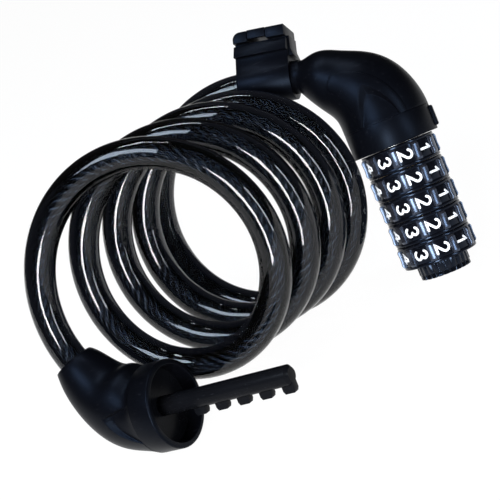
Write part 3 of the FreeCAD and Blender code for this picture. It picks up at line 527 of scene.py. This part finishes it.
def digit_runs(digit):
    """Runs of one digit, each as (points, closed)."""
    six = arc(0.5, -0.14, 1.0, 0.72, 116, 180, steps=8)[:-1]
    drawn = {
        0: [(oval(0, 0, 0.5, 0.5), True)],
        1: [([(-0.24, 0.28), (0.1, 0.5), (0.1, -0.5)], False)],
        2: [(arc(0, 0.2, 0.46, 0.3, 160, -32) + [(-0.48, -0.5), (0.5, -0.5)], False)],
        3: [(arc(-0.02, 0.255, 0.42, 0.245, 158, -72) + arc(-0.02, -0.245, 0.48, 0.255, 72, -158), False)],
        4: [([(0.24, -0.5), (0.24, 0.5), (-0.5, -0.2), (0.5, -0.2)], False)],
        5: [([(0.42, 0.5), (-0.34, 0.5)] + arc(-0.02, -0.17, 0.5, 0.33, 142, -150), False)],
        6: [(six, False), (oval(0, -0.19, 0.5, 0.31), True)],
        7: [([(-0.48, 0.5), (0.5, 0.5), (-0.14, -0.5)], False)],
        8: [(oval(0, 0.255, 0.42, 0.245), True), (oval(0, -0.235, 0.5, 0.265), True)],
        9: [([(-x, -y) for x, y in six], False), (oval(0, 0.19, 0.5, 0.31), True)],
    }
    return drawn[digit]


def stroke_line(run, closed, wide, tall):
    """Points along a run in mm, at nearly even steps, in a box of a width and height in mm."""
    corners = [Vector((x * wide, y * tall, 0)) for x, y in run]
    if closed:
        corners.append(corners[0])
    line = []
    for a, b in zip(corners, corners[1:]):
        parts = max(1, round((b - a).length / STROKE_STEP))
        line += [a.lerp(b, k / parts) for k in range(parts)]
    if not closed:
        line.append(corners[-1])
    return line


def ribbon(bm, run, closed, sizes, thickness):
    """Flat stroke along a run in the digit's plane in mm, with round ends and closed all round."""
    half = sizes.digit_stroke / 2
    line = stroke_line(run, closed, sizes.digit_width - 2 * half, sizes.digit_height - 2 * half)
    count = len(line)
    rows = []
    for i, point in enumerate(line):
        before = line[(i - 1) % count] if closed or i else None
        after = line[(i + 1) % count] if closed or i < count - 1 else None
        way_in = (point - before).normalized() if before else (after - point).normalized()
        way_out = (after - point).normalized() if after else way_in
        ahead = (way_in + way_out).normalized()
        side = Vector((-ahead.y, ahead.x, 0)) * (half / max(ahead.dot(way_in), LEAST_MITRE))
        rows.append((bm.verts.new(point + side), bm.verts.new(point - side)))
    following = rows[1:] + (rows[:1] if closed else [])
    made = [bm.faces.new((a[0], a[1], b[1], b[0])) for a, b in zip(rows, following)]
    if not closed:
        ends = ((rows[0], line[0], line[0] - line[1]), (rows[-1], line[-1], line[-1] - line[-2]))
        for (left, right), centre, way in ends:
            reach, out = left.co - centre, way.normalized() * half
            turns = [math.pi * k / END_STEPS for k in range(1, END_STEPS)]
            bow = [bm.verts.new(centre + reach * math.cos(u) + out * math.sin(u)) for u in turns]
            made.append(bm.faces.new([left] + bow + [right]))
    bmesh.ops.recalc_face_normals(bm, faces=made)
    raised = bmesh.ops.extrude_face_region(bm, geom=made)["geom"]
    tops = [v for v in raised if isinstance(v, bmesh.types.BMVert)]
    bmesh.ops.translate(bm, vec=(0, 0, thickness), verts=tops)


# The cable


def coil_point(turn):
    """The cable's centreline in metres after a number of turns from the boot's end of the coil."""
    sizes = settings().cable
    angle = math.radians(COIL_START_DEG + 360 * turn)
    splay = FIRST_TURN_SPLAY * max(SPLAY_UNTIL_TURN - turn, 0) ** 2
    way = min(max((turn - FLARE_FROM_TURN) / (COIL_TURNS - FLARE_FROM_TURN), 0), 1)
    flare = LAST_TURN_FLARE * (1 - math.cos(math.pi * way)) / 2
    radius = sizes.coil_radius + (splay + flare) * MM
    bow = turn * (COIL_TURNS - turn)
    x = radius * math.cos(angle) + (COIL_LEAN_X * turn + COIL_BOW_X * bow) * MM
    y = radius * math.sin(angle) + (COIL_LEAN_Y * turn + COIL_BOW_Y * bow) * MM
    z = sizes.coil_pitch * turn + COIL_BOW_Z * bow * MM
    return COIL_CENTRE + COIL_AXES[0] * x + COIL_AXES[1] * y + COIL_AXES[2] * z


def cable_route(name, past_boot, past_head, steps):
    """The cable's line: straight out of the boot, round the coil and straight into the head."""
    count = round(COIL_TURNS * settings().cable.points_per_turn)
    points = [coil_point(COIL_TURNS * i / count) for i in range(count + 1)]
    boot_way = (coil_point(0) - coil_point(NEAR_TURN)).normalized()
    head_way = (coil_point(COIL_TURNS) - coil_point(COIL_TURNS - NEAR_TURN)).normalized()
    points = [points[0] + boot_way * past_boot] + points + [points[-1] + head_way * past_head]
    curve = bpy.data.curves.new(name, "CURVE")
    curve.dimensions = "3D"
    curve.resolution_u = steps
    spline = curve.splines.new("NURBS")
    spline.points.add(len(points) - 1)
    for held, point in zip(spline.points, points):
        held.co = (*point, 1)
    spline.order_u = 3
    spline.use_endpoint_u = True
    return curve


def curve_mesh(curve):
    """Mesh of a curve, by way of an object that is then removed."""
    holder = in_scene("line", curve)
    mesh = bpy.data.meshes.new_from_object(holder)
    bpy.data.objects.remove(holder)
    return mesh


def line_of(curve):
    """Points along a curve that has no bevel."""
    mesh = curve_mesh(curve)
    points = [v.co.copy() for v in mesh.vertices]
    bpy.data.meshes.remove(mesh)
    return points


def carried_frames(points):
    """Each point with two directions across the line, carried along it without twist, and the way so far."""
    heading = (points[1] - points[0]).normalized()
    side = heading.orthogonal().normalized()
    frames, way = [], 0.0
    for i, point in enumerate(points):
        ahead = points[min(i + 1, len(points) - 1)] - points[max(i - 1, 0)]
        heading = ahead.normalized()
        side = (side - heading * side.dot(heading)).normalized()
        if i:
            way += (point - points[i - 1]).length
        frames.append((point, side, heading.cross(side), way))
    return frames


def touching_radius(outer, count):
    """Radius of each of a number of round wires that touch inside a circle."""
    share = math.sin(math.pi / count)
    return outer * share / (1 + share)


def wire_paths(frames, sizes, strand_reach, wire_reach):
    """Each wire's offsets along the rope: the strand goes round the rope, and the wire round the strand."""
    paths = []
    for strand in range(sizes.strands):
        for wire in range(sizes.wires):
            path = []
            for _, _, _, way in frames:
                a = 2 * math.pi * (way / sizes.strand_lay + strand / sizes.strands)
                b = a - 2 * math.pi * (way / sizes.wire_lay + wire / sizes.wires)
                u = strand_reach * math.cos(a) + wire_reach * math.cos(b)
                v = strand_reach * math.sin(a) + wire_reach * math.sin(b)
                path.append((u, v))
            paths.append(path)
    return paths


def laid_wires(name, frames, paths, radius, rounding):
    """One mesh of round wires, each given as its offsets along the two directions at every point."""
    curve = bpy.data.curves.new(name, "CURVE")
    curve.dimensions = "3D"
    curve.bevel_depth = radius
    curve.bevel_resolution = rounding
    curve.use_fill_caps = True
    for path in paths:
        spline = curve.splines.new("POLY")
        spline.points.add(len(frames) - 1)
        for held, (point, side, other, _), (u, v) in zip(spline.points, frames, path):
            held.co = (*(point + side * u + other * v), 1)
    mesh = curve_mesh(curve)
    mesh.name = name
    for polygon in mesh.polygons:
        polygon.use_smooth = True
    return in_scene(name, mesh)


class LOCK_OT_cable(bpy.types.Operator):
    """Lay the clear sheath and the stranded rope inside it"""

    bl_idname = "lock.cable"
    bl_label = "Coiled cable"

    def execute(self, context):
        sizes = settings().cable
        curve = cable_route("cable_sheath_clear", sizes.in_boot, sizes.in_head, SHEATH_STEPS)
        curve.bevel_depth = sizes.diameter / 2
        curve.bevel_resolution = SHEATH_ROUNDING
        curve.use_fill_caps = True
        sheath = in_scene("cable_sheath_clear", curve)
        dress(sheath, sheath_finish())
        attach(sheath, "lock")
        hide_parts("cable_sheath")

        in_boot, in_head = sizes.in_boot + ROPE_PAST_SHEATH, sizes.in_head + ROPE_PAST_SHEATH
        frames = carried_frames(line_of(cable_route("rope_line", in_boot, in_head, ROPE_STEPS)))
        rope_r = sizes.rope_diameter / 2
        strand_r = touching_radius(rope_r, sizes.strands)
        wire_r = touching_radius(strand_r, sizes.wires)
        paths = wire_paths(frames, sizes, rope_r - strand_r, strand_r - wire_r)
        half = len(paths) // 2
        strands = laid_wires("rope_strands_a", frames, paths[:half], wire_r, WIRE_ROUNDING)
        others = laid_wires("rope_strands_b", frames, paths[half:], wire_r, WIRE_ROUNDING)
        straight = [(0.0, 0.0)] * len(frames)
        core = laid_wires("rope_core", frames, [straight], strand_r * CORE_SHARE, CORE_ROUNDING)
        for piece in (strands, others, core):
            dress(piece, rope_finish())
            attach(piece, "lock")
        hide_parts("wire_rope")
        return {"FINISHED"}


class LOCK_OT_head(bpy.types.Operator):
    """Finish the head's shroud and collar, the end cap and its plate"""

    bl_idname = "lock.head"
    bl_label = "Head shells"

    def execute(self, context):
        shell = shell_finish()
        eased_copy("head_shroud", "head_shroud_shell", "lock", shell, edge=0.00035)
        eased_copy("head_collar", "head_collar_band", "lock", shell, edge=0.0003)
        eased_copy("reset_sleeve", "reset_cap_grip", "end_cap", dial_finish(), edge=0)
        dress(frame["nodes"]["keyway_plate"], steel_finish())
        return {"FINISHED"}


class LOCK_OT_dials(bpy.types.Operator):
    """Make the number dials with their panels, ribs, flanges and digits"""

    bl_idname = "lock.dials"
    bl_label = "Number dials"

    def execute(self, context):
        sizes = settings().dial
        place = head_matrix()
        first = Vector(joint_called("dial_1_turn")["pos_m"])
        for n in range(1, DIALS + 1):
            at = Vector(joint_called(f"dial_{n}_turn")["pos_m"])
            drop = -(at - first).length / MM
            self.drum(n, sizes, place, drop - sizes.height / 2, drop + sizes.height / 2)
            self.digits(n, sizes, place, drop)
        return {"FINISHED"}

    def drum(self, n, sizes, place, low, high):
        """Ten-sided core, round panels, two flanges, and a rib between each two digits."""
        panel = sizes.panel_radius
        bm = bmesh.new()
        facets(bm, panel - CORE_DEPTH, sizes.bore_radius, low + CORE_INSET, high - CORE_INSET, DIGITS)
        rounded_ring(bm, panel, panel - PANEL_DEPTH, low + PANEL_INSET, high - PANEL_INSET, PANEL_EASE)
        for a, b in ((low, low + sizes.flange_width), (high - sizes.flange_width, high)):
            rounded_ring(bm, sizes.flange_radius, panel - FLANGE_DEPTH, a, b, FLANGE_EASE)
        body_faces = set(bm.faces)
        for k in range(DIGITS):
            turn = Matrix.Rotation(math.radians(DIGIT_DEG * k + DIGIT_DEG / 2), 4, "Z")
            self.rib(bm, sizes, turn, low, high)
        for face in bm.faces:
            face.material_index = 0 if face in body_faces else 1
        bmesh.ops.recalc_face_normals(bm, faces=bm.faces)
        bmesh.ops.transform(bm, matrix=place, verts=bm.verts)
        mesh_piece(
            f"dial_{n}_drum", bm, [dial_finish(), rib_finish()], f"dial_{n}_body", [f"dial_{n}"],
            sharp_deg=DRUM_SHARP_DEG,
        )

    def rib(self, bm, sizes, turn, low, high):
        """Rib between two panels, a little hollow along its top."""
        others = set(bm.verts)
        z0 = low + sizes.flange_width - RIB_OVERLAP
        z1 = high - sizes.flange_width + RIB_OVERLAP
        top, foot = sizes.rib_radius, sizes.panel_radius - RIB_DEPTH
        crest = [(top + dip, z0 + (z1 - z0) * share) for share, dip in RIB_TOP]
        outline = [(foot, z0)] + crest + [(foot, z1)]
        side = sizes.rib_width / 2
        start = [bm.verts.new((x, -side, z)) for x, z in outline]
        face = bm.faces.new(start)
        grown = bmesh.ops.extrude_face_region(bm, geom=[face])["geom"]
        ends = [v for v in grown if isinstance(v, bmesh.types.BMVert)]
        bmesh.ops.translate(bm, vec=(0, 2 * side, 0), verts=ends)
        rims = [
            e for v in start + ends for e in v.link_edges
            if abs(e.verts[0].co.y - e.verts[1].co.y) < SAME_SIDE
            and min(p.co.x for p in e.verts) > foot + RIB_EASED_OVER
        ]
        bmesh.ops.bevel(
            bm, geom=list(set(rims)), offset=RIB_EASE, segments=2, profile=0.5, affect="EDGES", material=-1,
            clamp_overlap=True,
        )
        bmesh.ops.transform(bm, matrix=turn, verts=[v for v in bm.verts if v not in others])

    def digits(self, n, sizes, place, height):
        """Raised printed digits, tops towards the lower number, wrapped round the dial."""
        bm = bmesh.new()
        for digit in range(DIGITS):
            flat = bmesh.new()
            for layer, (run, closed) in enumerate(digit_runs(digit)):
                ribbon(flat, run, closed, sizes, PRINT_THICKNESS + PRINT_LAYER * layer)
            for v in flat.verts:
                angle = v.co.y / sizes.panel_radius - math.radians(DIGIT_DEG * digit)
                reach = sizes.panel_radius + PRINT_LIFT + v.co.z
                v.co = Vector((reach * math.cos(angle), reach * math.sin(angle), height - v.co.x))
            bmesh.ops.recalc_face_normals(flat, faces=flat.faces)
            mesh = bpy.data.meshes.new("digit")
            flat.to_mesh(mesh)
            flat.free()
            bm.from_mesh(mesh)
            bpy.data.meshes.remove(mesh)
        bmesh.ops.transform(bm, matrix=place, verts=bm.verts)
        mesh_piece(
            f"dial_{n}_digits", bm, [digit_finish()], f"dial_{n}_body", sharp_deg=PRINT_SHARP_DEG
        )


class LOCK_OT_plug(bpy.types.Operator):
    """Finish the plug's boot, cup, floor and toothed pin"""

    bl_idname = "lock.plug"
    bl_label = "Plug"

    def execute(self, context):
        shell = shell_finish()
        eased_copy("plug_boot", "plug_boot_shell", "lock", shell, edge=0.0005)
        eased_copy("plug_collar", "plug_cup", "lock", shell, edge=0.0002)
        eased_copy("lock_pin", "plug_pin", "lock", pin_finish(), edge=0.0004, steps=3)
        dress(frame["nodes"]["plug_base"], pin_finish())
        return {"FINISHED"}


class LOCK_OT_carrier(bpy.types.Operator):
    """Finish the carrier and its release latch"""

    bl_idname = "lock.carrier"
    bl_label = "Carrier"

    def execute(self, context):
        shell = shell_finish()
        eased_copy("carrier", "carrier_block", "carrier_body", shell, edge=0.0003)
        eased_copy("release_latch", "release_tongue", "latch_body", shell, edge=0.00025)
        return {"FINISHED"}


class LOCK_OT_works(bpy.types.Operator):
    """Give the metal pieces inside the head and the boot their finish"""

    bl_idname = "lock.works"
    bl_label = "Metal inside"

    def execute(self, context):
        steel = (
            "head_ferrule", "plug_ferrule", "head_anchor_pin", "plug_base_pin",
            "click_spring", "disc_springs", "thrust_ring", "circlip",
        )
        for node in steel:
            dress(frame["nodes"][node], steel_finish())
        for node in ["lock_barrel"] + [f"code_ring_{n}" for n in range(1, DIALS + 1)]:
            dress(frame["nodes"][node], brass_finish())
        dress(frame["nodes"]["head_anchor"], casting_finish())
        return {"FINISHED"}


def soft_light(name, heading_deg, height_deg, size, level, colour):
    """Box light that faces the lock from a heading and a height in degrees, with a brightness of its face."""
    data = bpy.data.lights.new(name, "AREA")
    data.shape = "RECTANGLE"
    data.size, data.size_y = size
    data.energy = level * math.pi * size[0] * size[1]
    data.color = colour
    a, e = math.radians(heading_deg), math.radians(height_deg)
    way = Vector((math.cos(a) * math.cos(e), math.sin(a) * math.cos(e), math.sin(e)))
    turn = way.to_track_quat("Z", "Y").to_matrix().to_4x4()
    in_scene(name, data).matrix_world = Matrix.Translation(LAMP_AIM + way * LAMP_DISTANCE) @ turn


class LOCK_OT_stage(bpy.types.Operator):
    """Set the camera, the pale floor and the studio light"""

    bl_idname = "lock.stage"
    bl_label = "Stage"

    def execute(self, context):
        scene, stage = context.scene, settings().stage
        camera = in_scene("camera", bpy.data.cameras.new("camera"))
        camera.data.lens = CAMERA_LENS
        camera.data.sensor_width = CAMERA_SENSOR
        camera.matrix_world = Matrix.Translation(CAMERA_PLACE) @ Matrix(CAMERA_AXES).transposed().to_4x4()
        scene.camera = camera

        bm = bmesh.new()
        bmesh.ops.create_grid(bm, x_segments=1, y_segments=1, size=FLOOR_HALF)
        mesh = bpy.data.meshes.new("floor")
        bm.to_mesh(mesh)
        bm.free()
        floor = in_scene("floor", mesh)
        floor.location.z = -FLOOR_DROP
        dress(floor, floor_finish())

        for name, heading_deg, height_deg, size, level, colour in LAMPS:
            soft_light(name, heading_deg, height_deg, size, getattr(stage, level), colour)
        world = bpy.data.worlds.new("studio")
        world.use_nodes = True
        around = world.node_tree.nodes["Background"]
        set_values(around, {"Color": WORLD_COLOUR, "Strength": stage.world_level})
        scene.world = world
        scene.view_settings.view_transform = "Standard"
        return {"FINISHED"}


class LockSettings(bpy.types.PropertyGroup):
    cable: PointerProperty(type=CableSizes, name="Cable", description="Sizes of the cable")
    dial: PointerProperty(type=DialSizes, name="Dials", description="Sizes of the dials")
    finish: PointerProperty(type=Finishes, name="Finishes", description="Colours of the pieces")
    stage: PointerProperty(type=StageSettings, name="Stage", description="Floor and light")


STEPS = (
    LOCK_OT_stage, LOCK_OT_cable, LOCK_OT_head, LOCK_OT_dials, LOCK_OT_plug, LOCK_OT_carrier, LOCK_OT_works,
)


class LOCK_PT_panel(bpy.types.Panel):
    """Sizes, colours and steps of the cable lock"""

    bl_idname = "LOCK_PT_panel"
    bl_label = "Cable Lock"
    bl_space_type = "VIEW_3D"
    bl_region_type = "UI"
    bl_category = "Cable Lock"

    def draw(self, context):
        for step in STEPS:
            self.layout.operator(step.bl_idname)
        for group in (settings().cable, settings().dial, settings().finish, settings().stage):
            box = self.layout.box()
            for name in group.__annotations__:
                box.prop(group, name)


CLASSES = (CableSizes, DialSizes, Finishes, StageSettings, LockSettings) + STEPS + (LOCK_PT_panel,)


def register():
    for made in CLASSES:
        bpy.utils.register_class(made)
    bpy.types.Scene.cable_lock = PointerProperty(type=LockSettings)


def unregister():
    del bpy.types.Scene.cable_lock
    for made in reversed(CLASSES):
        bpy.utils.unregister_class(made)


def main():
    register()
    bpy.ops.lock.stage()
    bpy.ops.lock.cable()
    bpy.ops.lock.head()
    bpy.ops.lock.dials()
    bpy.ops.lock.plug()
    bpy.ops.lock.carrier()
    bpy.ops.lock.works()


if __name__ == "__main__":
    main()
